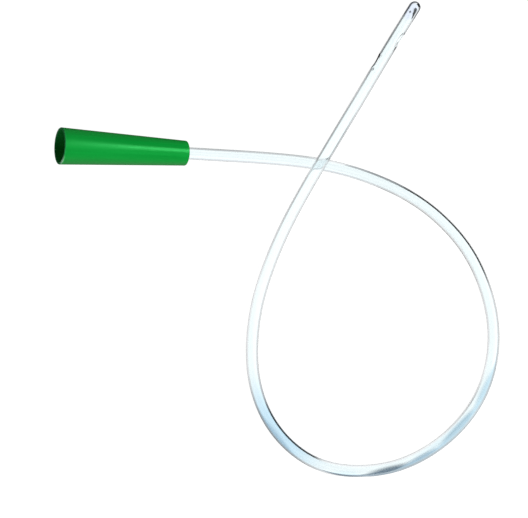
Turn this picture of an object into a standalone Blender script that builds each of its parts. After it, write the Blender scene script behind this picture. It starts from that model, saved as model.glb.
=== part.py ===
"""Intermittent urinary catheter: a clear PVC tube bonded into a green drainage funnel.

The catheter lies on a flat surface at z = 0, as it comes to rest out of its pack. The funnel lies on its
side along X, with its mouth towards -X. The tube leaves the neck, runs one loop on the surface, passes over
itself in a long low hump and ends in a closed round tip. Metres, +Z up. The origin is on the surface, under
the middle of the funnel.
"""

import math

import bmesh
import bpy
import numpy as np
from mathutils import Matrix, Vector

# The tube is 12 Ch, which is 4 mm across.
TUBE_DIAMETER = 0.0040
LUMEN_DIAMETER = 0.0028
TIP_WALL = 0.0044
TUBE_SIDES_PER_QUARTER = 3
RING_SPACING = 0.0060
NOSE_RINGS = 6

# Two drainage eyes near the tip, on opposite sides, measured from the tip's end to their middles.
EYE_LENGTH = 0.0055
EYE_WIDTH = 0.0022
FIRST_EYE_FROM_TIP = 0.0145
SECOND_EYE_FROM_TIP = 0.0254
EYE_SIDES = 24

# The funnel, from its mouth to its neck.
FUNNEL_LENGTH = 0.0434
MOUTH_DIAMETER = 0.0121
NECK_DIAMETER = 0.0082
MOUTH_WALL = 0.00075
LIP_ROUND = 0.0002
NECK_ROUND = 0.0004
BORE_END_DIAMETER = 0.0068
THROAT_LENGTH = 0.0040
SHOULDER_THICKNESS = 0.0010
SOCKET_DEPTH = 0.0120
SOCKET_LEAD_IN = 0.0002
FUNNEL_SIDES = 48
ROUND_STEPS = 4

# Clearances.
BOND_GAP = 0.0003
CROSSING_GAP = 0.0003

# The tube runs straight out of the socket for this far before it follows its route.
STRAIGHT_RUN = 0.0080

# The route: X and Y from the neck's end in metres, and the height above a tube that lies on the surface,
# as a share of the height at which one tube just passes over another.
ROUTE = [
    (0.0206, 0.0, 0.191),
    (0.0336, -0.0002, 0.102),
    (0.0465, -0.0010, 0.041),
    (0.0594, -0.0031, 0.007),
    (0.0718, -0.0067, 0.0),
    (0.0837, -0.0120, 0.0),
    (0.0943, -0.0194, 0.0),
    (0.1032, -0.0289, 0.0),
    (0.1095, -0.0403, 0.0),
    (0.1130, -0.0528, 0.0),
    (0.1129, -0.0657, 0.0),
    (0.1088, -0.0780, 0.0),
    (0.1010, -0.0885, 0.0),
    (0.0909, -0.0965, 0.0),
    (0.0790, -0.1017, 0.0),
    (0.0661, -0.1035, 0.0),
    (0.0533, -0.1019, 0.0),
    (0.0418, -0.0958, 0.0),
    (0.0331, -0.0862, 0.0),
    (0.0280, -0.0743, 0.021),
    (0.0264, -0.0614, 0.146),
    (0.0273, -0.0485, 0.357),
    (0.0303, -0.0360, 0.606),
    (0.0347, -0.0238, 0.836),
    (0.0402, -0.0121, 1.000),
    (0.0464, -0.0007, 1.055),
    (0.0530, 0.0106, 0.930),
    (0.0597, 0.0216, 0.637),
    (0.0664, 0.0326, 0.300),
    (0.0731, 0.0437, 0.057),
    (0.0801, 0.0554, 0.0),
]

# Colours, linear.
FUNNEL_GREEN = (0.010, 0.330, 0.035, 1.0)
CLEAR_PVC = (0.93, 0.98, 1.0, 1.0)

TUBE_RADIUS = TUBE_DIAMETER / 2
LUMEN_RADIUS = LUMEN_DIAMETER / 2
MOUTH_RADIUS = MOUTH_DIAMETER / 2
NECK_RADIUS = NECK_DIAMETER / 2

# The funnel lies on its side, so its axis rises towards the wider mouth by the taper's half angle.
AXIS_RISE = math.atan((MOUTH_RADIUS - NECK_RADIUS) / FUNNEL_LENGTH)
TO_NECK = Vector((math.cos(AXIS_RISE), 0.0, -math.sin(AXIS_RISE)))


def clear_scene():
    """Remove every object, so that the model starts from nothing."""
    for thing in list(bpy.data.objects):
        bpy.data.objects.remove(thing, do_unlink=True)


def material(name, colour, roughness, transmission=0.0):
    """A Principled material in one colour."""
    made = bpy.data.materials.new(name)
    made.use_nodes = True
    shader = made.node_tree.nodes["Principled BSDF"]
    shader.inputs["Base Color"].default_value = colour
    shader.inputs["Roughness"].default_value = roughness
    shader.inputs["Metallic"].default_value = 0.0
    shader.inputs["Transmission Weight"].default_value = transmission
    made.diffuse_color = colour
    return made


def add_mesh(name, mesh):
    """Put a mesh into the scene as an object."""
    thing = bpy.data.objects.new(name, mesh)
    bpy.context.scene.collection.objects.link(thing)
    return thing


def hide_tool(tool):
    """Show a cutter as a wire and leave it out of the render."""
    tool.hide_render = True
    tool.display_type = "WIRE"


def cut(body, tool):
    """Take a tool's shape out of a body."""
    hide_tool(tool)
    step = body.modifiers.new(tool.name, "BOOLEAN")
    step.operation = "DIFFERENCE"
    step.solver = "EXACT"
    step.object = tool


def mouth_centre():
    """The middle of the mouth, with the funnel's box centred on the origin in X."""
    taper = MOUTH_RADIUS - NECK_RADIUS
    x = -(FUNNEL_LENGTH * math.cos(AXIS_RISE) - taper * math.sin(AXIS_RISE)) / 2
    return Vector((x, 0.0, MOUTH_RADIUS * math.cos(AXIS_RISE)))


def neck_centre():
    """The middle of the neck's end face."""
    return mouth_centre() + TO_NECK * FUNNEL_LENGTH


def corner_round(corner, before, after, radius):
    """Points of an arc that rounds a profile's corner, with the given radius, between its two neighbours."""
    corner, before, after = Vector(corner), Vector(before), Vector(after)
    back, ahead = (before - corner).normalized(), (after - corner).normalized()
    half = back.angle(ahead) / 2
    start = corner + back * (radius / math.tan(half))
    end = corner + ahead * (radius / math.tan(half))
    centre = corner + (back + ahead).normalized() * (radius / math.sin(half))
    sweep = math.pi - 2 * half
    turn = math.copysign(1.0, (start - centre).x * (end - centre).y - (start - centre).y * (end - centre).x)
    points = []
    for step in range(ROUND_STEPS + 1):
        angle = turn * sweep * step / ROUND_STEPS
        points.append(centre + Matrix.Rotation(angle, 2) @ (start - centre))
    return points


def funnel_profile():
    """The funnel wall's outline as points (distance from the mouth, radius), once round."""
    socket_floor = FUNNEL_LENGTH - SOCKET_DEPTH
    throat_end = socket_floor - SHOULDER_THICKNESS
    bore_end = throat_end - THROAT_LENGTH
    socket_radius = TUBE_RADIUS + BOND_GAP
    outer_mouth = (0.0, MOUTH_RADIUS)
    outer_neck = (FUNNEL_LENGTH, NECK_RADIUS)
    inner_neck = (FUNNEL_LENGTH, socket_radius + SOCKET_LEAD_IN)
    inner_mouth = (0.0, MOUTH_RADIUS - MOUTH_WALL)
    bore = (bore_end, BORE_END_DIAMETER / 2)
    points = corner_round(outer_mouth, inner_mouth, outer_neck, LIP_ROUND)
    points += corner_round(outer_neck, outer_mouth, inner_neck, NECK_ROUND)
    points += [
        Vector(inner_neck),
        Vector((FUNNEL_LENGTH - SOCKET_LEAD_IN, socket_radius)),
        Vector((socket_floor, socket_radius)),
        Vector((socket_floor, LUMEN_RADIUS)),
        Vector((throat_end, LUMEN_RADIUS)),
    ]
    points += [Vector(bore)]
    points += corner_round(inner_mouth, bore, outer_mouth, LIP_ROUND)
    return points


def build_funnel():
    """The moulded funnel: its wall's outline turned once about its axis, then laid on its side."""
    form = bmesh.new()
    outline = [form.verts.new((point.x, 0.0, point.y)) for point in funnel_profile()]
    edges = [form.edges.new((a, b)) for a, b in zip(outline, outline[1:] + outline[:1])]
    bmesh.ops.spin(
        form,
        geom=outline + edges,
        cent=(0.0, 0.0, 0.0),
        axis=(1.0, 0.0, 0.0),
        dvec=(0.0, 0.0, 0.0),
        angle=2 * math.pi,
        steps=FUNNEL_SIDES,
        use_merge=True,
        use_duplicate=False,
    )
    bmesh.ops.remove_doubles(form, verts=form.verts, dist=1e-6)
    bmesh.ops.recalc_face_normals(form, faces=form.faces)
    mesh = bpy.data.meshes.new("funnel_connector")
    form.to_mesh(mesh)
    form.free()
    mesh.shade_smooth()
    mesh.set_sharp_from_angle(angle=math.radians(35))
    mesh.materials.append(material("green_pvc", FUNNEL_GREEN, 0.35))
    funnel = add_mesh("funnel_connector", mesh)
    funnel.location = mouth_centre()
    funnel.rotation_euler = (0.0, AXIS_RISE, 0.0)
    return funnel


def route_points():
    """The tube's whole route: from the socket's floor, straight out of the neck, then along ROUTE."""
    neck = neck_centre()
    over = TUBE_DIAMETER + CROSSING_GAP
    seat = neck - TO_NECK * (SOCKET_DEPTH - BOND_GAP)
    straight = [seat, neck - TO_NECK * (SOCKET_DEPTH / 2), neck, neck + TO_NECK * STRAIGHT_RUN]
    free = [Vector((neck.x + x, neck.y + y, TUBE_RADIUS + share * over)) for x, y, share in ROUTE]
    return np.array([tuple(point) for point in straight + free])


def smooth_curve(points):
    """A natural cubic spline through the points, as a function of the distance along their chords."""
    along = np.concatenate([[0.0], np.cumsum(np.linalg.norm(np.diff(points, axis=0), axis=1))])
    gap = np.diff(along)
    slope = np.diff(points, axis=0) / gap[:, None]
    count = len(points)
    system = np.eye(count)
    right = np.zeros((count, 3))
    for i in range(1, count - 1):
        system[i, i - 1 : i + 2] = gap[i - 1], 2 * (gap[i - 1] + gap[i]), gap[i]
        right[i] = 6 * (slope[i] - slope[i - 1])
    bend = np.linalg.solve(system, right)

    def at(distance):
        i = np.clip(np.searchsorted(along, distance, side="right") - 1, 0, count - 2)
        t = (distance - along[i])[:, None]
        h = gap[i][:, None]
        first = slope[i] - h * (2 * bend[i] + bend[i + 1]) / 6
        return points[i] + t * (first + t * (bend[i] / 2 + t * (bend[i + 1] - bend[i]) / (6 * h)))

    return at, along[-1]


def rounded_run(radius, end_distance):
    """Distances along the route and radius factors of a rod that ends in a half sphere."""
    shoulder = end_distance - radius
    count = math.ceil(shoulder / RING_SPACING)
    run = [shoulder * i / count for i in range(count + 1)]
    factors = [1.0] * len(run)
    for i in range(1, NOSE_RINGS + 1):
        angle = math.radians(85.0) * i / NOSE_RINGS
        run.append(shoulder + radius * math.sin(angle))
        factors.append(math.cos(angle))
    return run, factors


def sweep_rod(name, at, radius, end_distance, start_over=0.0):
    """A solid rod along the route: a poly curve with a round bevel, turned into a mesh."""
    run, factors = rounded_run(radius, end_distance)
    points = at(np.array(run))
    points[0] -= start_over * np.array(TO_NECK)
    shape = bpy.data.curves.new(name, "CURVE")
    shape.dimensions = "3D"
    shape.bevel_depth = radius
    shape.bevel_resolution = 2 * TUBE_SIDES_PER_QUARTER - 2
    shape.use_fill_caps = True
    spline = shape.splines.new("POLY")
    spline.points.add(len(points) - 1)
    for knot, place, factor in zip(spline.points, points, factors):
        knot.co = (*place, 1.0)
        knot.radius = factor
    carrier = bpy.data.objects.new(name + "_curve", shape)
    mesh = bpy.data.meshes.new_from_object(carrier)
    mesh.name = name
    bpy.data.objects.remove(carrier)
    bpy.data.curves.remove(shape)
    form = bmesh.new()
    form.from_mesh(mesh)
    bmesh.ops.remove_doubles(form, verts=form.verts, dist=1e-6)
    bmesh.ops.recalc_face_normals(form, faces=form.faces)
    form.to_mesh(mesh)
    form.free()
    return mesh


def eye_cutter(name, at, distance, side):
    """An oval punch that goes through one wall of the tube, square to its run and level."""
    here, ahead = at(np.array([distance, distance + EYE_WIDTH]))
    run = Vector(ahead - here).normalized()
    out = Vector((run.y, -run.x, 0.0)).normalized() * side
    up = out.cross(run)
    form = bmesh.new()
    bmesh.ops.create_cone(
        form,
        cap_ends=True,
        segments=EYE_SIDES,
        radius1=0.5,
        radius2=0.5,
        depth=TUBE_DIAMETER,
    )
    bmesh.ops.scale(form, vec=(EYE_LENGTH, EYE_WIDTH, 1.0), verts=form.verts)
    bmesh.ops.recalc_face_normals(form, faces=form.faces)
    mesh = bpy.data.meshes.new(name)
    form.to_mesh(mesh)
    form.free()
    turn = Matrix((run, up, out)).transposed().to_4x4()
    punch = add_mesh(name, mesh)
    punch.matrix_world = Matrix.Translation(Vector(here) + out * TUBE_DIAMETER / 2) @ turn
    return punch


def build_tube():
    """The extruded tube: a rod with a round nose, its lumen taken out, then the two eyes punched."""
    at, length = smooth_curve(route_points())
    tube = add_mesh("catheter_tube", sweep_rod("catheter_tube", at, TUBE_RADIUS, length))
    lumen_mesh = sweep_rod("lumen", at, LUMEN_RADIUS, length - TIP_WALL, start_over=RING_SPACING)
    cut(tube, add_mesh("lumen", lumen_mesh))
    cut(tube, eye_cutter("first_eye", at, length - FIRST_EYE_FROM_TIP, 1.0))
    cut(tube, eye_cutter("second_eye", at, length - SECOND_EYE_FROM_TIP, -1.0))
    tube.data.shade_smooth()
    tube.data.set_sharp_from_angle(angle=math.radians(40))
    tube.data.materials.append(material("clear_pvc", CLEAR_PVC, 0.08, transmission=0.95))
    return tube


def main():
    """Build the catheter's two pieces."""
    clear_scene()
    build_funnel()
    build_tube()


main()
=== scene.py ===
# %% [markdown]
# # An intermittent catheter, dressed for its portrait
#
# The real object is two pieces of soft PVC: a clear tube with a closed round tip and two drainage eyes, and
# a green funnel that the tube is bonded into. It lies in one loose loop on a pale surface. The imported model
# gives the places and sizes. This script gives each piece its fine surface and its finish, then the light.

import math

import bpy
import numpy as np
from mathutils import Matrix, Vector


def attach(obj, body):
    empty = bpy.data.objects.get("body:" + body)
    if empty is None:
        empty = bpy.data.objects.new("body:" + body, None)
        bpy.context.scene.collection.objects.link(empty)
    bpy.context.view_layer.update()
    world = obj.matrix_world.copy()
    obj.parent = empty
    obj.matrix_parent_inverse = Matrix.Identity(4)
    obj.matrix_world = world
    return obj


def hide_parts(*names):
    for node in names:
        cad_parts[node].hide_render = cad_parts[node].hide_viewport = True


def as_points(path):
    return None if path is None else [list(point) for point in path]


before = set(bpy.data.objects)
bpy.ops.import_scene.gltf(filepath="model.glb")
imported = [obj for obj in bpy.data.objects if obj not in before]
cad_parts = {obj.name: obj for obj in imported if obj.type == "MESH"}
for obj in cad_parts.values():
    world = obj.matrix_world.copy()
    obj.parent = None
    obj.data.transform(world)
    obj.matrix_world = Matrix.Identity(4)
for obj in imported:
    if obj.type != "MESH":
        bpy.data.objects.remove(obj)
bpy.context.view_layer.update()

# %% [markdown]
# ## The camera
#
# The photograph looks down on the loop, leaning a little towards the funnel's mouth, so that the inside of
# the mouth shows. A long lens from about a metre keeps the funnel and the loop free of distortion. The
# values were found by laying the funnel's mouth, its neck and the loop's crossing over the photograph.

# %% Set up the camera
LENS_MM = 200.0
SENSOR_MM = 36.0
CAMERA_DISTANCE = 0.97778
CAMERA_TARGET = Vector((0.0518, -0.0336, 0.0))
CAMERA_LEAN = math.radians(18.6)
CAMERA_ROLL = math.radians(2.55)
CLIP_NEAR, CLIP_FAR = 0.05, 50.0


def add_camera():
    """A camera at target + distance * (-sin lean, 0, cos lean), facing the target, rolled about its axis."""
    lens = bpy.data.cameras.new("camera")
    lens.lens = LENS_MM
    lens.sensor_width = SENSOR_MM
    lens.clip_start, lens.clip_end = CLIP_NEAR, CLIP_FAR
    camera = bpy.data.objects.new("camera", lens)
    bpy.context.scene.collection.objects.link(camera)
    turn = Matrix.Rotation(-CAMERA_LEAN, 4, "Y") @ Matrix.Rotation(CAMERA_ROLL, 4, "Z")
    back = Vector((-math.sin(CAMERA_LEAN), 0.0, math.cos(CAMERA_LEAN)))
    camera.matrix_world = Matrix.Translation(CAMERA_TARGET + CAMERA_DISTANCE * back) @ turn
    bpy.context.scene.camera = camera
    return camera


camera = add_camera()
print("camera at", [round(value, 3) for value in camera.matrix_world.translation])

# %% [markdown]
# ## The tube's route
#
# The tube is a cord: a fixed length of something flexible. It leaves the funnel's socket straight, sinks to
# the surface, runs once round and passes over itself in a long low hump. The route is the one that the CAD
# model follows, as a list of points from the neck's end. A natural cubic spline makes it one smooth curve.

# %% Sizes that the tube and the funnel share
TUBE_DIAMETER = 0.0040
LUMEN_DIAMETER = 0.0028
TUBE_RADIUS = TUBE_DIAMETER / 2
LUMEN_RADIUS = LUMEN_DIAMETER / 2
FUNNEL_LENGTH = 0.0434
MOUTH_RADIUS = 0.0121 / 2
NECK_RADIUS = 0.0082 / 2
SOCKET_DEPTH = 0.0120
CLEARANCE = 0.0003
STRAIGHT_RUN = 0.0080

AXIS_RISE = math.atan((MOUTH_RADIUS - NECK_RADIUS) / FUNNEL_LENGTH)
TO_NECK = np.array([math.cos(AXIS_RISE), 0.0, -math.sin(AXIS_RISE)])
HALF_SPAN = (FUNNEL_LENGTH * math.cos(AXIS_RISE) - (MOUTH_RADIUS - NECK_RADIUS) * math.sin(AXIS_RISE)) / 2
MOUTH_CENTRE = np.array([-HALF_SPAN, 0.0, MOUTH_RADIUS * math.cos(AXIS_RISE)])
NECK_CENTRE = MOUTH_CENTRE + FUNNEL_LENGTH * TO_NECK
print("neck centre in mm:", np.round(1000 * NECK_CENTRE, 2))

# %% The route's points
# X and Y from the neck's end, and the height as a share of the height at which one tube passes over another.
ROUTE = [
    (0.0206, 0.0, 0.191),
    (0.0336, -0.0002, 0.102),
    (0.0465, -0.0010, 0.041),
    (0.0594, -0.0031, 0.007),
    (0.0718, -0.0067, 0.0),
    (0.0837, -0.0120, 0.0),
    (0.0943, -0.0194, 0.0),
    (0.1032, -0.0289, 0.0),
    (0.1095, -0.0403, 0.0),
    (0.1130, -0.0528, 0.0),
    (0.1129, -0.0657, 0.0),
    (0.1088, -0.0780, 0.0),
    (0.1010, -0.0885, 0.0),
    (0.0909, -0.0965, 0.0),
    (0.0790, -0.1017, 0.0),
    (0.0661, -0.1035, 0.0),
    (0.0533, -0.1019, 0.0),
    (0.0418, -0.0958, 0.0),
    (0.0331, -0.0862, 0.0),
    (0.0280, -0.0743, 0.021),
    (0.0264, -0.0614, 0.146),
    (0.0273, -0.0485, 0.357),
    (0.0303, -0.0360, 0.606),
    (0.0347, -0.0238, 0.836),
    (0.0402, -0.0121, 1.000),
    (0.0464, -0.0007, 1.055),
    (0.0530, 0.0106, 0.930),
    (0.0597, 0.0216, 0.637),
    (0.0664, 0.0326, 0.300),
    (0.0731, 0.0437, 0.057),
    (0.0801, 0.0554, 0.0),
]


def route_points():
    """The route as one array: from the socket's floor, straight out of the neck, then along ROUTE."""
    seat = NECK_CENTRE - (SOCKET_DEPTH - CLEARANCE) * TO_NECK
    in_socket = NECK_CENTRE - SOCKET_DEPTH / 2 * TO_NECK
    free = np.array(ROUTE)
    free[:, :2] += NECK_CENTRE[:2]
    free[:, 2] = TUBE_RADIUS + free[:, 2] * (TUBE_DIAMETER + CLEARANCE)
    return np.vstack([seat, in_socket, NECK_CENTRE, NECK_CENTRE + STRAIGHT_RUN * TO_NECK, free])


route = route_points()
print("route:", len(route), "points")

# %% One smooth curve through the route
LENGTH_SAMPLES = 4000


def smooth_curve(points):
    """A natural cubic spline through the points, over the distance along their chords.

    With g for the gaps, the second derivatives m solve the usual three-band system: in each inner row i,
    g[i-1] m[i-1] + 2 (g[i-1] + g[i]) m[i] + g[i] m[i+1] = 6 (slope[i] - slope[i-1]), and m is 0 at both ends.
    """
    along = np.concatenate([[0.0], np.cumsum(np.linalg.norm(np.diff(points, axis=0), axis=1))])
    gap = np.diff(along)
    slope = np.diff(points, axis=0) / gap[:, None]
    system = np.diag(np.r_[1.0, 2 * (gap[:-1] + gap[1:]), 1.0])
    system += np.diag(np.r_[gap[:-1], 0.0], -1) + np.diag(np.r_[0.0, gap[1:]], 1)
    right = np.zeros_like(points)
    right[1:-1] = 6 * np.diff(slope, axis=0)
    bend = np.linalg.solve(system, right)

    def at(distance):
        i = np.clip(np.searchsorted(along, distance, side="right") - 1, 0, len(points) - 2)
        t = (distance - along[i])[:, None]
        h = gap[i][:, None]
        first = slope[i] - h * (2 * bend[i] + bend[i + 1]) / 6
        return points[i] + t * (first + t * (bend[i] / 2 + t * (bend[i + 1] - bend[i]) / (6 * h)))

    return at, along[-1]


tube_at, tube_end = smooth_curve(route)
fine_line = tube_at(np.linspace(0.0, tube_end, LENGTH_SAMPLES))
tube_length = np.linalg.norm(np.diff(fine_line, axis=0), axis=1).sum()
print(f"tube length {1000 * tube_length:.1f} mm, of which {1000 * SOCKET_DEPTH:.0f} mm is in the socket")

# %% [markdown]
# ## Surfaces as arrays
#
# Both pieces are a profile carried along a path: the tube's along its route, the funnel's along a straight
# axis. The whole surface is one array of rings, so nothing is built point by point. The path's frame has one
# arm to the right of the run and one up, which never twists, because the run is never steep.

# %% Carry a profile along a path
FRAME_STEP = 0.0001


def path_frame(at, distance):
    """Centre, right arm and up arm at each distance: right = run x Z made unit, up = right x run."""
    centre = at(distance)
    run = at(distance + FRAME_STEP) - at(distance - FRAME_STEP)
    run /= np.linalg.norm(run, axis=1, keepdims=True)
    right = np.cross(run, [0.0, 0.0, 1.0])
    right /= np.linalg.norm(right, axis=1, keepdims=True)
    return centre, right, np.cross(right, run)


def on_path(at, distance, angle, radius):
    """Points at centre + radius * (cos angle * up + sin angle * right), for arrays that fit one shape."""
    shape = np.broadcast(distance, angle, radius).shape
    d, a, r = (np.broadcast_to(value, shape).ravel() for value in (distance, angle, radius))
    centre, right, up = path_frame(at, d)
    points = centre + r[:, None] * (np.cos(a)[:, None] * up + np.sin(a)[:, None] * right)
    return points.reshape(*shape, 3)


def ring_faces(rows, sides):
    """Quads between neighbouring rings, and each corner's row and side before the seam is joined."""
    i, j = np.meshgrid(np.arange(rows - 1), np.arange(sides), indexing="ij")
    corner_row, corner_side = np.stack([i, i, i + 1, i + 1], -1), np.stack([j, j + 1, j + 1, j], -1)
    return corner_row * sides + corner_side % sides, corner_row, corner_side


_, first_right, first_up = path_frame(tube_at, np.array([0.0]))
print("right and up arm in the socket:", np.round(first_right[0], 2), np.round(first_up[0], 2))

# %% Turn arrays into a piece
# An edge that turns by more than this stays sharp.
SHARP_FROM = math.radians(50)


def add_piece(name, points, faces, corner_maps):
    """Put points and faces into a smooth mesh, with the faces' UV corners in the same order."""
    mesh = bpy.data.meshes.new(name)
    mesh.from_pydata(points, [], [face for block in faces for face in block.tolist()])
    layer = mesh.uv_layers.new(name="along_and_round")
    layer.uv.foreach_set("vector", np.concatenate([uv.reshape(-1) for uv in corner_maps]).astype(np.float32))
    mesh.shade_smooth()
    mesh.validate()
    mesh.set_sharp_from_angle(angle=SHARP_FROM)
    piece = bpy.data.objects.new(name, mesh)
    bpy.context.scene.collection.objects.link(piece)
    print(f"{name}: {len(points)} points, {sum(len(p.vertices) - 2 for p in mesh.polygons)} triangles")
    return piece


# %% [markdown]
# ## The tube's wall and tip
#
# The tube is extruded, so its wall is even all along. Its end is heated and pressed in a die into a closed
# round nose, and the lumen ends in a shallow dome just inside it. The CAD model ends its lumen earlier. Here
# it runs on, because the photograph's nose shows the line of a wall all round. One profile says all this: out
# of the lumen's dome, back along the lumen, round the cut end in the socket, and forward along the outside to
# the nose. Both surfaces are needed, because the light bends at each, and that draws a clear tube's edges.

# %% The tube's profile
TUBE_SIDES = 56
RING_GAP = 0.0010
FINE_GAP = 0.00025
FINE_STRETCH = 0.0300
DOME_STEPS = 14
TIP_WALL = 0.0007
LUMEN_DOME = 0.0015


def tube_distances():
    """Ring distances that both walls share: coarse along the run, fine over the stretch with the eyes."""
    lumen_shoulder = tube_end - TIP_WALL - LUMEN_DOME
    fine_from = tube_end - FINE_STRETCH
    coarse = np.linspace(0.0, fine_from, math.ceil(fine_from / RING_GAP), endpoint=False)
    fine = np.linspace(fine_from, lumen_shoulder, math.ceil((lumen_shoulder - fine_from) / FINE_GAP) + 1)
    return np.concatenate([coarse, fine])


def dome(shoulder, length, radius):
    """Rings of half an ellipsoid, without its pole: shoulder + length sin a along, and radius cos a out."""
    angle = np.linspace(0.0, math.pi / 2, DOME_STEPS + 1)[1:-1]
    return shoulder + length * np.sin(angle), radius * np.cos(angle)


run = tube_distances()
lumen_dome = dome(run[-1], LUMEN_DOME, LUMEN_RADIUS)
nose_shoulder = tube_end - TUBE_RADIUS
nose = dome(nose_shoulder, TUBE_RADIUS, TUBE_RADIUS)
outer_run = np.linspace(run[-1], nose_shoulder, math.ceil((nose_shoulder - run[-1]) / FINE_GAP) + 1)[1:]
ring_distance = np.concatenate([lumen_dome[0][::-1], run[::-1], run, outer_run, nose[0]])
inner_radii = np.concatenate([lumen_dome[1][::-1], np.full(len(run), LUMEN_RADIUS)])
outer_radii = np.concatenate([np.full(len(run) + len(outer_run), TUBE_RADIUS), nose[1]])
ring_radius = np.concatenate([inner_radii, outer_radii])
FIRST_OUTER_ROW = len(inner_radii)
print("tube rings:", len(ring_distance))

# %% [markdown]
# ## The drainage eyes
#
# Each eye is an oval hole punched through one wall and then melted smooth, so that its rim is round and can't
# scratch. A Boolean cut would leave a sharp edge and untidy faces in clear plastic, where every facet shows.
# So a window of the grid is left out of both walls, and rings of points close in from the window's border to
# the oval, turn over the rim in a half circle, and open out again on the inside.

# %% Build one eye into the grid
EYE_LENGTH = 0.0055
EYE_WIDTH = 0.0022
# Each eye's distance from the tip, and its side: 1 for the right of the run, -1 for the left.
EYES = [(0.0145, 1), (0.0254, -1)]
RIM_STEPS = 8
FLAT_STEPS = 6
WINDOW_HALF_ROWS = 15
WINDOW_HALF_SIDES = 12
MID_RADIUS = (TUBE_RADIUS + LUMEN_RADIUS) / 2
HALF_WALL = (TUBE_RADIUS - LUMEN_RADIUS) / 2


def window_border(middle_row, middle_side):
    """Rows and sides of the window's border, once round, counter-clockwise as seen from outside."""
    low_row, high_row = middle_row - WINDOW_HALF_ROWS, middle_row + WINDOW_HALF_ROWS
    low_side, high_side = middle_side - WINDOW_HALF_SIDES, middle_side + WINDOW_HALF_SIDES
    up_sides, up_rows = np.arange(low_side, high_side), np.arange(low_row, high_row)
    down_sides, down_rows = np.arange(high_side, low_side, -1), np.arange(high_row, low_row, -1)
    low_rows, high_rows = np.full_like(up_sides, low_row), np.full_like(down_sides, high_row)
    low_sides, high_sides = np.full_like(down_rows, low_side), np.full_like(up_rows, high_side)
    rows = np.concatenate([low_rows, up_rows, high_rows, down_rows])
    sides = np.concatenate([up_sides, high_sides, down_sides, low_sides])
    return rows, sides


def eye_rings(border_distance, border_angle, eye_distance, eye_angle):
    """Distance, angle and radius of the eye's rings, each of shape (rings, border points).

    A ring of the rim is the oval (a + o) cos q, (b + o) sin q with o = w (1 - sin p) at radius m + w cos p,
    for p from 0 outside to pi inside. Here a and b are half the eye's length and width, w is half the wall,
    and m the radius of its middle. The flat rings are straight lines from the border to the rim's ends.
    """
    q = np.arctan2(
        (border_angle - eye_angle) / np.ptp(border_angle),
        (border_distance - eye_distance) / np.ptp(border_distance),
    )
    p = np.linspace(0.0, math.pi, RIM_STEPS + 1)[:, None]
    grow = HALF_WALL * (1 - np.sin(p))
    rim_distance = eye_distance + (EYE_LENGTH / 2 + grow) * np.cos(q)
    rim_angle = eye_angle + (EYE_WIDTH / 2 + grow) / MID_RADIUS * np.sin(q)
    rim_radius = MID_RADIUS + HALF_WALL * np.cos(p)
    share = np.linspace(0.0, 1.0, FLAT_STEPS + 1)[:-1, None]
    flat_distance = border_distance + share * (rim_distance[0] - border_distance)
    flat_angle = border_angle + share * (rim_angle[0] - border_angle)
    distance = np.vstack([flat_distance, rim_distance, flat_distance[::-1]])
    angle = np.vstack([flat_angle, rim_angle, flat_angle[::-1]])
    flat = np.ones((FLAT_STEPS, 1))
    radius = np.vstack([TUBE_RADIUS * flat, rim_radius, LUMEN_RADIUS * flat])
    return distance, angle, np.broadcast_to(radius, distance.shape)


print(f"wall {2000 * HALF_WALL:.2f} mm thick, and {RIM_STEPS + 1 + 2 * FLAT_STEPS} rings in each eye")

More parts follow.
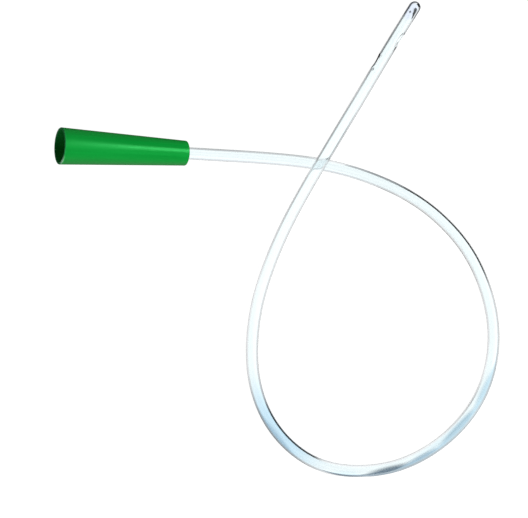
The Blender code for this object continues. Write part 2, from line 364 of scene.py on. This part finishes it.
# %% The whole tube
def tube_mesh():
    """Walls, nose and lumen dome from the profile, with a window and an eye's rings in it for each eye."""
    rows = len(ring_distance)
    angle = 2 * math.pi * np.arange(TUBE_SIDES + 1) / TUBE_SIDES
    points = [on_path(tube_at, ring_distance[:, None], angle[:-1], ring_radius[:, None]).reshape(-1, 3)]
    quads, corner_row, corner_side = ring_faces(rows, TUBE_SIDES)
    keep = np.ones(quads.shape[:2], bool)
    corner_map = np.stack([ring_distance[corner_row], TUBE_RADIUS * angle[corner_side]], -1)
    eye_faces, eye_maps = [], []
    count = rows * TUBE_SIDES
    for from_tip, side in EYES:
        k = int(np.argmin(np.abs(run - (tube_end - from_tip))))
        middle_side = TUBE_SIDES // 4 if side > 0 else 3 * TUBE_SIDES // 4
        border_row, border_side = window_border(k, middle_side)
        rings = eye_rings(run[border_row], angle[border_side], run[k], angle[middle_side])
        ids = np.empty(rings[0].shape, int)
        ids[0] = (FIRST_OUTER_ROW + border_row) * TUBE_SIDES + border_side
        ids[-1] = (FIRST_OUTER_ROW - 1 - border_row) * TUBE_SIDES + border_side
        ids[1:-1] = count + np.arange(ids[1:-1].size).reshape(ids[1:-1].shape)
        count += ids[1:-1].size
        points.append(on_path(tube_at, *[part[1:-1] for part in rings]).reshape(-1, 3))
        following = np.roll(ids, -1, axis=1)
        eye_faces.append(np.stack([ids[:-1], following[:-1], following[1:], ids[1:]], -1).reshape(-1, 4))
        uv = np.stack([rings[0], TUBE_RADIUS * rings[1]], -1)
        next_uv = np.roll(uv, -1, axis=1)
        eye_maps.append(np.stack([uv[:-1], next_uv[:-1], next_uv[1:], uv[1:]], -2))
        window_sides = slice(middle_side - WINDOW_HALF_SIDES, middle_side + WINDOW_HALF_SIDES)
        for middle_row in (FIRST_OUTER_ROW + k, FIRST_OUTER_ROW - 1 - k):
            keep[middle_row - WINDOW_HALF_ROWS : middle_row + WINDOW_HALF_ROWS, window_sides] = False
    points.append(tube_at(np.array([run[-1] + LUMEN_DOME, tube_end])))
    side = np.arange(TUBE_SIDES)
    beside = (side + 1) % TUBE_SIDES
    lumen_pole = np.stack([np.full(TUBE_SIDES, count), beside, side], -1)
    last_ring = (rows - 1) * TUBE_SIDES
    nose_pole = np.stack([last_ring + side, last_ring + beside, np.full(TUBE_SIDES, count + 1)], -1)
    pole_map = np.zeros((2 * TUBE_SIDES, 3, 2))
    pole_map[:, :, 0] = tube_end
    faces = [quads[keep], *eye_faces, lumen_pole, nose_pole]
    return np.vstack(points), faces, [corner_map[keep], *eye_maps, pole_map]


tube = add_piece("catheter_tube_clear", *tube_mesh())

PATH_POINTS = 200
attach(tube, "root")
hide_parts("catheter_tube")
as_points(tube_at(np.linspace(0.0, tube_end, PATH_POINTS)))

# %% [markdown]
# ## The funnel
#
# The funnel is injection moulded in soft PVC. Outside it is one plain taper. Inside, a tapered bore takes a
# drainage bag's connector, and a socket at the neck holds the tube. A profile turned about its axis gives all
# of it, with a full round on the lip, where the light catches it, and a larger round at the neck.

# %% The funnel's profile
FUNNEL_SIDES = 160
MOUTH_WALL = 0.00075
LIP_ROUND = 0.00030
NECK_ROUND = 0.00040
BORE_END_RADIUS = 0.0034
THROAT_LENGTH = 0.0040
SHOULDER_THICKNESS = 0.0010
BOND_GAP = 0.00002
SOCKET_RADIUS = TUBE_RADIUS + BOND_GAP
NECK_LIP = 0.00025
ROUND_STEPS = 8
STRAIGHT_STEPS = 24
BORE_RINGS = (STRAIGHT_STEPS - 1) + (ROUND_STEPS + 1)


def rounded_corner(corner, before, after, radius):
    """An arc that rounds a corner.

    Its centre is corner + radius / sin(h) along the bisector, where h is half of the corner's angle.
    """
    corner, before, after = (np.array(point, float) for point in (corner, before, after))
    back = (before - corner) / np.linalg.norm(before - corner)
    ahead = (after - corner) / np.linalg.norm(after - corner)
    half = math.acos(np.clip(back @ ahead, -1.0, 1.0)) / 2
    middle = (back + ahead) / np.linalg.norm(back + ahead)
    centre = corner + middle * radius / math.sin(half)
    start = corner + back * radius / math.tan(half) - centre
    turn = math.copysign(math.pi - 2 * half, back[1] * ahead[0] - back[0] * ahead[1])
    angle = turn * np.linspace(0.0, 1.0, ROUND_STEPS + 1)[:, None]
    return centre + np.cos(angle) * start + np.sin(angle) * np.array([-start[1], start[0]])


def straight(start, end):
    """Points of a straight stretch, without its ends."""
    share = np.linspace(0.0, 1.0, STRAIGHT_STEPS + 1)[1:-1, None]
    return np.array(start) + share * (np.array(end) - np.array(start))


def funnel_profile():
    """(Distance from the mouth, radius) once round the wall: lip, outside, neck, socket, throat, bore."""
    socket_floor = FUNNEL_LENGTH - SOCKET_DEPTH
    throat_end = socket_floor - SHOULDER_THICKNESS
    bore_end = (throat_end - THROAT_LENGTH, BORE_END_RADIUS)
    outer_mouth, outer_neck = (0.0, MOUTH_RADIUS), (FUNNEL_LENGTH, NECK_RADIUS)
    inner_mouth, inner_neck = (0.0, MOUTH_RADIUS - MOUTH_WALL), (FUNNEL_LENGTH, SOCKET_RADIUS)
    throat_corner = (throat_end, LUMEN_RADIUS)
    lip = rounded_corner(outer_mouth, inner_mouth, outer_neck, LIP_ROUND)
    neck = rounded_corner(outer_neck, outer_mouth, inner_neck, NECK_ROUND)
    neck_lip = rounded_corner(inner_neck, outer_neck, (socket_floor, SOCKET_RADIUS), NECK_LIP)
    inner_lip = rounded_corner(inner_mouth, bore_end, outer_mouth, LIP_ROUND)
    corners = [(socket_floor, SOCKET_RADIUS), (socket_floor, LUMEN_RADIUS), throat_corner, bore_end]
    bore = straight(bore_end, inner_lip[0])
    return np.vstack([lip, straight(lip[-1], neck[0]), neck, neck_lip, corners, bore, inner_lip])


print("funnel profile:", len(funnel_profile()), "points")

# %% The whole funnel
def straight_axis(distance):
    """The funnel's axis as a path, from the middle of its mouth."""
    return MOUTH_CENTRE + np.asarray(distance)[:, None] * TO_NECK


def funnel_mesh():
    """The profile turned once about the axis. It is a closed loop, so its last ring joins its first.

    In the UV map the distance from the mouth is negative in the bore, so that a finish can tell the bore from
    the outside. Both are zero at the lip, where they meet.
    """
    profile = funnel_profile()
    angle = 2 * math.pi * np.arange(FUNNEL_SIDES + 1) / FUNNEL_SIDES
    points = on_path(straight_axis, profile[:, :1], angle[:-1], profile[:, 1:]).reshape(-1, 3)
    quads, corner_row, corner_side = ring_faces(len(profile) + 1, FUNNEL_SIDES)
    along = np.append(profile[:, 0], profile[0, 0])
    along[-(BORE_RINGS + 1) :] *= -1
    corner_map = np.stack([along[corner_row], MOUTH_RADIUS * angle[corner_side]], -1)
    return points, [quads.reshape(-1, 4) % len(points)], [corner_map]


funnel = add_piece("funnel_green", *funnel_mesh())
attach(funnel, "root")
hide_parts("funnel_connector")

# %% [markdown]
# ## Finishes
#
# A finish is a material: a small network of nodes that says how the surface meets the light. Three helpers
# serve them all. One turns a colour as it is picked on a screen into the linear one that Blender counts in,
# one adds a node and joins it to those that feed it, and one starts a material with nothing in it.


# %% Helpers for colours and nodes
def linear(hex_colour):
    """An sRGB hex colour as linear RGBA: c / 12.92 below 0.04045, else ((c + 0.055) / 1.055) ** 2.4."""
    srgb = np.array([int(hex_colour[i : i + 2], 16) for i in (1, 3, 5)]) / 255
    low, high = srgb / 12.92, ((srgb + 0.055) / 1.055) ** 2.4
    return (*np.where(srgb <= 0.04045, low, high).tolist(), 1.0)


def add_node(tree, kind, settings=None, inputs=None):
    """Add a node. Settings are its own fields, and each input takes a value or another node's output."""
    node = tree.nodes.new(kind)
    for field, value in (settings or {}).items():
        setattr(node, field, value)
    for socket, value in (inputs or {}).items():
        if isinstance(value, bpy.types.NodeSocket):
            tree.links.new(value, node.inputs[socket])
        else:
            node.inputs[socket].default_value = value
    return node


def new_material(name):
    """A material with an empty node tree."""
    made = bpy.data.materials.new(name)
    made.use_nodes = True
    made.node_tree.nodes.clear()
    return made, made.node_tree


WHITE = linear("#FFFFFF")
print("a screen's middle grey is", round(linear("#808080")[0], 3), "of white in linear light")

# %% [markdown]
# ## Patterns that follow the pieces
#
# An extruded tube has faint lines along its run, and a moulded funnel has soft flow streaks from its gate.
# Both follow the piece and not the room, so they are read from the UV map, which is in metres: along the
# piece, and round it. The way round is wrapped onto a circle first, so that the pattern has no seam.

# %% Noise that follows a piece
NOISE_DETAIL = 2.0
# Noise seldom leaves the middle half of 0 to 1, so that half is spread over a finish's whole range.
NOISE_RANGE = {"From Min": 0.25, "From Max": 0.75}
# The colour sockets of a Mix node, by number, because their names aren't unique.
MIX_A, MIX_B, MIX_RESULT = 6, 7, 2


def piece_place(tree):
    """Where a point is on its piece: metres along it, and metres round it."""
    place = add_node(tree, "ShaderNodeUVMap", {"uv_map": "along_and_round"})
    part = add_node(tree, "ShaderNodeSeparateXYZ", None, {0: place.outputs[0]})
    return part.outputs[0], part.outputs[1]


def wrapped_noise(tree, radius, along, across):
    """Noise at (u / along, r cos(v / r) / across, r sin(v / r) / across), with u and v in metres."""
    u, v = piece_place(tree)
    angle = add_node(tree, "ShaderNodeMath", {"operation": "DIVIDE"}, {0: v, 1: radius})
    cosine = add_node(tree, "ShaderNodeMath", {"operation": "COSINE"}, {0: angle.outputs[0]})
    sine = add_node(tree, "ShaderNodeMath", {"operation": "SINE"}, {0: angle.outputs[0]})
    wrapped = add_node(tree, "ShaderNodeCombineXYZ", None, {0: u, 1: cosine.outputs[0], 2: sine.outputs[0]})
    scale = (1 / along, radius / across, radius / across)
    scaled = add_node(
        tree, "ShaderNodeVectorMath", {"operation": "MULTIPLY"}, {0: wrapped.outputs[0], 1: scale}
    )
    inputs = {"Vector": scaled.outputs[0], "Scale": 1.0, "Detail": NOISE_DETAIL}
    return add_node(tree, "ShaderNodeTexNoise", None, inputs).outputs["Fac"]


# %% [markdown]
# ## The tube's finish
#
# Medical PVC for catheters is clear, glossy and faintly blue. Nothing in it scatters light, so it is pure
# transmission with PVC's index of 1.53. The die leaves lines along the run that are far too fine to see one
# by one. They are drawn 0.7 mm apart here, as a very low bump and a small change in gloss.

# %% Clear plasticised PVC, extruded
PVC_INDEX = 1.53
CLEAR_CAST = "#FAFEFF"
DIE_LINE_ALONG, DIE_LINE_ACROSS = 0.0300, 0.0007
DIE_LINE_HEIGHT = 0.000002
CLEAR_ROUGHNESS = {"To Min": 0.015, "To Max": 0.045}


def clear_pvc():
    """Clear glossy PVC, slightly uneven along the run."""
    made, tree = new_material("clear_plasticised_pvc_extruded")
    lines = wrapped_noise(tree, TUBE_RADIUS, DIE_LINE_ALONG, DIE_LINE_ACROSS)
    bump = add_node(tree, "ShaderNodeBump", None, {"Height": lines, "Distance": DIE_LINE_HEIGHT})
    skin = add_node(tree, "ShaderNodeMapRange", None, {"Value": lines, **NOISE_RANGE, **CLEAR_ROUGHNESS})
    look = {
        "Base Color": linear(CLEAR_CAST),
        "Roughness": skin.outputs[0],
        "Normal": bump.outputs[0],
        "IOR": PVC_INDEX,
        "Transmission Weight": 1.0,
    }
    shader = add_node(tree, "ShaderNodeBsdfPrincipled", None, look)
    add_node(tree, "ShaderNodeOutputMaterial", None, {"Surface": shader.outputs[0]})
    return made


tube.data.materials.append(clear_pvc())
print("tube:", tube.data.materials[0].name)

# %% [markdown]
# ## The funnel's finish
#
# The funnel is soft PVC with a green pigment in it. Light goes a little way in before it comes back, so even
# its gloss looks green, and only the steep edges shine white. The mould was lightly blasted, which gives a
# satin skin of grains about 0.1 mm wide, drawn 0.4 mm wide here. Flow streaks 2 mm wide run along it from the
# gate, and the skin is rougher towards the wide end, where the photograph's highlight spreads and fades.
#
# The lip is thin, so light comes through it. That is painted light: a paler green on the lip, palest on one
# side as a painted highlight. Inside the bore, light through the wall is painted too, as a lighter green than
# the outside, from just behind the lip.

# %% The green's colours, with painted light on the lip and in the bore
GREEN_DEEP, GREEN_LIGHT = "#037A28", "#068A30"
FLOW_ALONG, FLOW_ACROSS = 0.0500, 0.0020
# Painted light: the lip's green is paler within LIP_DEPTH of the rim, for light that comes through the thin
# lip.
LIP_PAINTED_LIGHT, LIP_DEPTH = "#238245", 0.0006
# Painted highlight: a pale green over one quarter of the lip, where the light catches it.
LIP_PAINTED_HIGHLIGHT, HIGHLIGHT_AT, HIGHLIGHT_REACH = "#A8D4B4", math.radians(58), math.radians(28)
# Painted light: the bore's green grows lighter from BORE_FROM to BORE_TO deep, for light that comes through
# the wall.
BORE_PAINTED_LIGHT, BORE_FROM, BORE_TO = "#22A244", 0.0004, 0.0030


def green_colour(tree, streaks):
    """Deep green with four more mixed over it in turn: the streaks', the lip's painted light, its painted
    highlight, the bore's painted light.

    The lip's share is 1 at the rim and 0 at LIP_DEPTH. The highlight's is that times a tent over the way
    round, 1 at HIGHLIGHT_AT and 0 at HIGHLIGHT_REACH to either side. The bore's runs from 0 to 1 with the
    depth.
    """
    along, round_lip = piece_place(tree)
    streak = add_node(tree, "ShaderNodeMapRange", None, {"Value": streaks, **NOISE_RANGE})
    depth = add_node(tree, "ShaderNodeMath", {"operation": "ABSOLUTE"}, {0: along})
    lip_range = {"Value": depth.outputs[0], "From Min": LIP_DEPTH, "From Max": 0.0}
    lip = add_node(tree, "ShaderNodeMapRange", None, lip_range)
    highlight_at = MOUTH_RADIUS * HIGHLIGHT_AT
    aside = add_node(tree, "ShaderNodeMath", {"operation": "SUBTRACT"}, {0: round_lip, 1: highlight_at})
    off = add_node(tree, "ShaderNodeMath", {"operation": "ABSOLUTE"}, {0: aside.outputs[0]})
    tent_range = {"Value": off.outputs[0], "From Min": MOUTH_RADIUS * HIGHLIGHT_REACH, "From Max": 0.0}
    tent = add_node(tree, "ShaderNodeMapRange", None, tent_range)
    both = {0: tent.outputs[0], 1: lip.outputs[0]}
    lip_highlight = add_node(tree, "ShaderNodeMath", {"operation": "MULTIPLY"}, both)
    bore_range = {"Value": along, "From Min": -BORE_FROM, "From Max": -BORE_TO}
    bore = add_node(tree, "ShaderNodeMapRange", None, bore_range)
    colour = linear(GREEN_DEEP)
    layers = [(streak, GREEN_LIGHT), (lip, LIP_PAINTED_LIGHT), (lip_highlight, LIP_PAINTED_HIGHLIGHT), (bore, BORE_PAINTED_LIGHT)]
    for share, green in layers:
        inputs = {0: share.outputs[0], MIX_A: colour, MIX_B: linear(green)}
        colour = add_node(tree, "ShaderNodeMix", {"data_type": "RGBA"}, inputs).outputs[MIX_RESULT]
    return colour


# %% Moulded soft PVC, green
GREEN_GLOSS = "#61FF95"
GREEN_ROUGHNESS = {"To Min": 0.25, "To Max": 0.35}
MATT_ADDED, MATT_FROM, MATT_TO = 0.16, 0.0240, 0.0020
GRAIN_SIZE = 0.0004
GRAIN_DETAIL = 1.0
GRAIN_HEIGHT = 0.000006


def green_pvc():
    """Satin green PVC with flow streaks, a fine grain, and painted light on the lip and in the bore."""
    made, tree = new_material("moulded_soft_pvc_green")
    streaks = wrapped_noise(tree, MOUTH_RADIUS, FLOW_ALONG, FLOW_ACROSS)
    depth = add_node(tree, "ShaderNodeMath", {"operation": "ABSOLUTE"}, {0: piece_place(tree)[0]})
    matt_range = {"Value": depth.outputs[0], "From Min": MATT_FROM, "From Max": MATT_TO, "To Max": MATT_ADDED}
    matt = add_node(tree, "ShaderNodeMapRange", None, matt_range)
    skin = add_node(tree, "ShaderNodeMapRange", None, {"Value": streaks, **NOISE_RANGE, **GREEN_ROUGHNESS})
    both = {0: skin.outputs[0], 1: matt.outputs[0]}
    roughness = add_node(tree, "ShaderNodeMath", {"operation": "ADD"}, both)
    place = add_node(tree, "ShaderNodeTexCoord").outputs["Object"]
    grain_look = {"Vector": place, "Scale": 1 / GRAIN_SIZE, "Detail": GRAIN_DETAIL}
    grain = add_node(tree, "ShaderNodeTexNoise", None, grain_look)
    bump = add_node(tree, "ShaderNodeBump", None, {"Height": grain.outputs["Fac"], "Distance": GRAIN_HEIGHT})
    look = {
        "Base Color": green_colour(tree, streaks),
        "Roughness": roughness.outputs[0],
        "Normal": bump.outputs[0],
        "IOR": PVC_INDEX,
        "Specular Tint": linear(GREEN_GLOSS),
    }
    shader = add_node(tree, "ShaderNodeBsdfPrincipled", None, look)
    add_node(tree, "ShaderNodeOutputMaterial", None, {"Surface": shader.outputs[0]})
    return made


funnel.data.materials.append(green_pvc())
print("funnel:", funnel.data.materials[0].name)

# %% [markdown]
# ## The floor
#
# The photograph has a pure white ground with hardly a shadow, as a lit paper sweep gives. So the camera sees
# the paper mostly as its own even glow, with a small share of real shading.
#
# A clear tube is another matter, because what it shows isn't its own colour but what lies round it. The
# photograph shows blue-grey bands, a dark wedge and small dark flecks inside the tube's outline. So the paper
# carries soft round spots of painted shade and painted shadow at fixed places, seen only by light that has
# passed through a clear piece. A ray that a wall of the tube has mirrored passes through the paper and sees
# the surround instead, and the same spots tint it with painted shade, which gives some edges their darker
# lines.

# %% Painted shade that shows only through the tube
FLOOR_DROP = 0.00005
PAPER_THROUGH = "#FAFDFD"
# Each row has the spot's centre, the radii where it is whole and where it ends, its painted shade as seen
# through the tube, and its painted shade on what the walls mirror. None leaves that kind of ray as it is.
PAINTED_SHADE_SPOTS = [
    # Painted cool blue shade on the loop's near left side.
    ((0.0575, -0.0918), 0.0060, 0.0250, "#CDE7F6", "#B4C0C8"),
    ((0.0372, -0.1118), 0.0288, 0.0312, "#A6C4D8", None),
    # Painted shadow: a dark wedge at the bottom of the loop, with its thin start.
    ((0.0840, -0.1150), 0.0090, 0.0125, "#E4F4FA", "#8A98A2"),
    ((0.0970, -0.1352), 0.0286, 0.0308, "#5A7484", None),
    ((0.1070, -0.1313), 0.0288, 0.0316, "#35566C", "#B4C2CC"),
    # Painted blue-grey shade that goes on from the wedge, up the loop's right side.
    ((0.1260, -0.1050), 0.0080, 0.0210, "#D6EAF2", None),
    ((0.1248, -0.1248), 0.0290, 0.0314, "#94B0C2", "#D4DEE4"),
    ((0.1454, -0.1077), 0.0290, 0.0316, "#B0CAD8", "#D4DEE4"),
    ((0.1597, -0.0878), 0.0290, 0.0318, "#C4DCE8", "#DCE4E8"),
    # Painted shade in what the far edge of the straight run mirrors, before and after the crossing.
    ((0.0360, 0.0250), 0.0245, 0.0275, None, "#CCCECE"),
    ((0.0560, 0.0220), 0.0220, 0.0245, None, "#D8DADA"),
    ((0.0868, 0.0020), 0.0055, 0.0078, None, "#C4C8CA"),
    ((0.0985, 0.0012), 0.0102, 0.0118, None, "#A8ACAE"),
    # Painted shade in what the left edge of the tube's last stretch mirrors.
    ((0.0700, 0.0560), 0.0210, 0.0360, None, "#868B8D"),
    # Painted shadow of the nose: a faint cast over it, its dark fleck and its small grey fleck.
    ((0.1008, 0.0537), 0.0035, 0.0055, "#F0F2FF", "#6A6C74"),
    ((0.1022, 0.0528), 0.0005, 0.0012, "#24262E", None),
    ((0.1025, 0.0515), 0.0010, 0.0017, "#050608", None),
    ((0.1027, 0.0503), 0.0010, 0.0017, "#050608", None),
    ((0.0998, 0.0522), 0.0002, 0.0007, "#60626E", None),
    # Painted shade at both ends of each drainage eye.
    ((0.1006, 0.0427), 0.0012, 0.0022, None, "#40464E"),
    ((0.0987, 0.0398), 0.0022, 0.0036, None, "#101418"),
    ((0.0975, 0.0400), 0.0010, 0.0018, "#0C1014", None),
    ((0.0895, 0.0368), 0.0002, 0.0008, "#303438", None),
    ((0.0867, 0.0323), 0.0002, 0.0008, "#303438", None),
]


def add_painted_shade(tree, paper, column):
    """The paper's colour with one column of the painted shade spots mixed over it in turn, each by its own
    share.

    A spot's share is 1 within its inner radius and 0 beyond its outer one, with a smooth step between them.
    """
    place = add_node(tree, "ShaderNodeTexCoord").outputs["Object"]
    colour = paper
    for (x, y), inner, outer, *colours in PAINTED_SHADE_SPOTS:
        if colours[column] is None:
            continue
        ends = {0: place, 1: (x, y, -FLOOR_DROP)}
        away = add_node(tree, "ShaderNodeVectorMath", {"operation": "DISTANCE"}, ends).outputs["Value"]
        step = {"Value": away, "From Min": outer, "From Max": inner}
        share = add_node(tree, "ShaderNodeMapRange", {"interpolation_type": "SMOOTHSTEP"}, step).outputs[0]
        inputs = {0: share, MIX_A: colour, MIX_B: linear(colours[column])}
        colour = add_node(tree, "ShaderNodeMix", {"data_type": "RGBA"}, inputs).outputs[MIX_RESULT]
    return colour


print(len(PAINTED_SHADE_SPOTS), "spots on the paper")

# %% White paper
PAPER_SEEN = "#F4F4F4"
SHADING_SHARE = 0.12
GLOW_SEEN, GLOW_THROUGH, GLOW_FILL = 1.12, 1.22, 0.52
# A ray's depth counts its bounces, so it is above this as soon as there has been one.
ANY_BOUNCE = 0.5


def floor_paper():
    """White paper: glow * (1 - share) + shading * share, with the glow chosen by the kind of ray."""
    made, tree = new_material("white_sweep_paper")
    ray = add_node(tree, "ShaderNodeLightPath").outputs
    seen, fill = ray["Is Camera Ray"], ray["Is Diffuse Ray"]
    # Painted shade and painted shadow on the paper, for every ray but the camera's.
    through = add_painted_shade(tree, linear(PAPER_THROUGH), 0)
    paper = []
    for own_colour in (WHITE, linear(PAPER_SEEN)):
        inputs = {0: seen, MIX_A: through, MIX_B: own_colour}
        paper.append(add_node(tree, "ShaderNodeMix", {"data_type": "RGBA"}, inputs).outputs[MIX_RESULT])
    glow_colour, shading_colour = paper
    unseen_range = {"Value": fill, "To Min": GLOW_THROUGH, "To Max": GLOW_FILL}
    unseen = add_node(tree, "ShaderNodeMapRange", None, unseen_range).outputs[0]
    level_range = {"Value": seen, "To Min": unseen, "To Max": GLOW_SEEN}
    level = add_node(tree, "ShaderNodeMapRange", None, level_range).outputs[0]
    glow = add_node(tree, "ShaderNodeEmission", None, {"Color": glow_colour, "Strength": level})
    shading = add_node(tree, "ShaderNodeBsdfDiffuse", None, {"Color": shading_colour})
    lit_inputs = {0: SHADING_SHARE, 1: glow.outputs[0], 2: shading.outputs[0]}
    lit = add_node(tree, "ShaderNodeMixShader", None, lit_inputs)
    bounced = {0: ray["Glossy Depth"], 1: ANY_BOUNCE}
    mirrored = add_node(tree, "ShaderNodeMath", {"operation": "GREATER_THAN"}, bounced)
    # Painted shade on what the walls mirror, from the spots' second colour.
    clear = add_node(tree, "ShaderNodeBsdfTransparent", None, {"Color": add_painted_shade(tree, WHITE, 1)})
    last_inputs = {0: mirrored.outputs[0], 1: lit.outputs[0], 2: clear.outputs[0]}
    last = add_node(tree, "ShaderNodeMixShader", None, last_inputs)
    add_node(tree, "ShaderNodeOutputMaterial", None, {"Surface": last.outputs[0]})
    return made


# %% Lay the floor
FLOOR_HALF = 3.0


def add_floor():
    """A plain square floor just under the catheter."""
    h, z = FLOOR_HALF, -FLOOR_DROP
    mesh = bpy.data.meshes.new("floor")
    mesh.from_pydata([(-h, -h, z), (h, -h, z), (h, h, z), (-h, h, z)], [], [(0, 1, 2, 3)])
    mesh.materials.append(floor_paper())
    floor = bpy.data.objects.new("floor", mesh)
    bpy.context.scene.collection.objects.link(floor)
    return floor


floor = add_floor()
print("floor:", 2 * FLOOR_HALF, "m square, of", floor.data.materials[0].name)

# %% [markdown]
# ## The studio's surround
#
# A clear tube on white paper shows little but its edges, and each edge mirrors what stands to that side. In
# the photograph the edges that face up and right are dark, as if a dark card stood there, and the others are
# pale grey. So light that has passed through the tube sees a ring of cards, given by compass direction and
# tilted as the photograph's view is. All other light sees a dim room with one broad pale side, so that the
# funnel's gloss stays dark and rich. The camera itself sees plain white.

# %% The ring of cards
# Each stop has a compass direction in degrees, from +X towards +Y, and the card's level, grey or as RGB.
RING = [
    (-180, 0.92),
    (-172, 0.88),
    (-156, 0.80),
    (-136, 0.80),
    (-120, 0.82),
    (-105, 0.74),
    (-94, (0.70, 0.73, 0.76)),
    (-83, (0.84, 0.86, 0.89)),
    (-70, (0.80, 0.82, 0.85)),
    (-58, 0.70),
    (-42, 0.85),
    (-30, 1.00),
    (-15, 0.80),
    (4, 0.75),
    (14, 0.75),
    (20, 0.03),
    (38, 0.00),
    (54, 0.01),
    (58, 0.95),
    (66, 1.00),
    (120, 1.00),
    (136, 0.75),
    (148, 0.52),
    (157, 0.72),
    (167, 1.00),
    (180, 0.92),
]
RING_TILT = CAMERA_LEAN
# The ring fades in between these two shares of a direction that point away from its axis.
RING_INNER, RING_OUTER = 0.04, 0.16


def ring_of_cards(tree, direction):
    """The card in a direction: a ramp over atan2(y, x) of the tilted direction, white near the axis."""
    tilt = {0: direction, "Angle": RING_TILT}
    tilted = add_node(tree, "ShaderNodeVectorRotate", {"rotation_type": "Y_AXIS"}, tilt).outputs[0]
    x, y, _ = add_node(tree, "ShaderNodeSeparateXYZ", None, {0: tilted}).outputs
    turn = add_node(tree, "ShaderNodeMath", {"operation": "ARCTAN2"}, {0: y, 1: x})
    compass_range = {"Value": turn.outputs[0], "From Min": -math.pi, "From Max": math.pi}
    compass = add_node(tree, "ShaderNodeMapRange", None, compass_range)
    ramp = add_node(tree, "ShaderNodeValToRGB", None, {0: compass.outputs[0]})
    stops = ramp.color_ramp.elements
    stops.remove(stops[-1])
    for number, (azimuth, level) in enumerate(RING):
        stop = stops[0] if number == 0 else stops.new(1.0)
        stop.position = (azimuth + 180) / 360
        stop.color = (*np.broadcast_to(level, 3).tolist(), 1.0)
    flatten = {0: tilted, 1: (1.0, 1.0, 0.0)}
    flat = add_node(tree, "ShaderNodeVectorMath", {"operation": "MULTIPLY"}, flatten)
    reach = add_node(tree, "ShaderNodeVectorMath", {"operation": "LENGTH"}, {0: flat.outputs[0]})
    off_range = {"Value": reach.outputs["Value"], "From Min": RING_INNER, "From Max": RING_OUTER}
    off_axis = add_node(tree, "ShaderNodeMapRange", None, off_range)
    inputs = {0: off_axis.outputs[0], MIX_A: WHITE, MIX_B: ramp.outputs[0]}
    return add_node(tree, "ShaderNodeMix", {"data_type": "RGBA"}, inputs).outputs[MIX_RESULT]


print("ring of cards:", len(RING), "stops")

# %% Set up the surround
ROOM_LEVEL = 0.06
PALE_SIDE = Vector((0.1, -1.0, 0.10)).normalized()
PALE_FROM, PALE_TO, PALE_LEVEL = 0.1, 0.95, 0.50


def dim_room(tree, direction):
    """The room's level, plus the pale side's, which rises smoothly with the cosine of the angle to it."""
    facing = add_node(
        tree, "ShaderNodeVectorMath", {"operation": "DOT_PRODUCT"}, {0: direction, 1: PALE_SIDE}
    )
    pale_range = {
        "Value": facing.outputs["Value"],
        "From Min": PALE_FROM,
        "From Max": PALE_TO,
        "To Max": PALE_LEVEL,
    }
    pale = add_node(tree, "ShaderNodeMapRange", {"interpolation_type": "SMOOTHSTEP"}, pale_range)
    room = add_node(tree, "ShaderNodeMath", {"operation": "ADD"}, {0: pale.outputs[0], 1: ROOM_LEVEL})
    return room.outputs[0]


def add_surround():
    """A world: white for the camera, the ring for rays that have passed through a piece, else the room."""
    world = bpy.data.worlds.new("studio_surround")
    world.use_nodes = True
    bpy.context.scene.world = world
    tree = world.node_tree
    tree.nodes.clear()
    direction = add_node(tree, "ShaderNodeTexCoord").outputs["Generated"]
    ray = add_node(tree, "ShaderNodeLightPath").outputs
    passed = {0: ray["Transmission Depth"], 1: ANY_BOUNCE}
    through = add_node(tree, "ShaderNodeMath", {"operation": "GREATER_THAN"}, passed)
    inputs = {0: through.outputs[0], MIX_A: dim_room(tree, direction), MIX_B: ring_of_cards(tree, direction)}
    around = add_node(tree, "ShaderNodeMix", {"data_type": "RGBA"}, inputs).outputs[MIX_RESULT]
    unseen = add_node(tree, "ShaderNodeBackground", None, {"Color": around})
    white = add_node(tree, "ShaderNodeBackground", None, {"Color": WHITE})
    both_inputs = {0: ray["Is Camera Ray"], 1: unseen.outputs[0], 2: white.outputs[0]}
    both = add_node(tree, "ShaderNodeMixShader", None, both_inputs)
    add_node(tree, "ShaderNodeOutputWorld", None, {"Surface": both.outputs[0]})
    return world


world = add_surround()
bpy.context.scene.view_settings.view_transform = "Standard"
print("surround:", world.name, "with", len(world.node_tree.nodes), "nodes")

# %% [markdown]
# ## The lamps
#
# A broad soft lamp overhead gives the colour of the pieces. It doesn't show in their gloss. A smaller lamp to
# the far side does, and draws the one soft streak along the funnel. It lights the funnel alone, because on
# the tube it would leave a hard glint that the photograph doesn't have.

# %% Set up the lamps
LAMPS_LOOK_AT = Vector((0.05, -0.03, 0.0))
LAMP_DISTANCE = 0.8
LAMPS = {
    "overhead_softbox": {"towards": (0.32, -0.14, 0.85), "size": (0.5, 0.5), "watts": 6.6, "gloss": False},
    "streak_strip": {"towards": (0.50, 0.38, 0.80), "size": (0.24, 0.36), "watts": 3.5, "gloss": True},
}


def add_lamp(name, towards, size, watts, gloss):
    """An area lamp at look-at + distance * unit(towards), facing back to the look-at point.

    A lamp that shows in the gloss lights the funnel alone.
    """
    light = bpy.data.lights.new(name, "AREA")
    light.shape = "RECTANGLE"
    light.size, light.size_y = size
    light.energy = watts
    lamp = bpy.data.objects.new(name, light)
    bpy.context.scene.collection.objects.link(lamp)
    away = Vector(towards).normalized()
    place = Matrix.Translation(LAMPS_LOOK_AT + LAMP_DISTANCE * away)
    lamp.matrix_world = place @ away.to_track_quat("Z", "Y").to_matrix().to_4x4()
    lamp.visible_camera = False
    lamp.visible_glossy = gloss
    lamp.visible_transmission = gloss
    if gloss:
        lit = bpy.data.collections.new(name + "_lights")
        lit.objects.link(funnel)
        lamp.light_linking.receiver_collection = lit
    return lamp


for lamp_name, values in LAMPS.items():
    lamp = add_lamp(lamp_name, **values)
    print(lamp_name, "at", [round(value, 2) for value in lamp.matrix_world.translation])
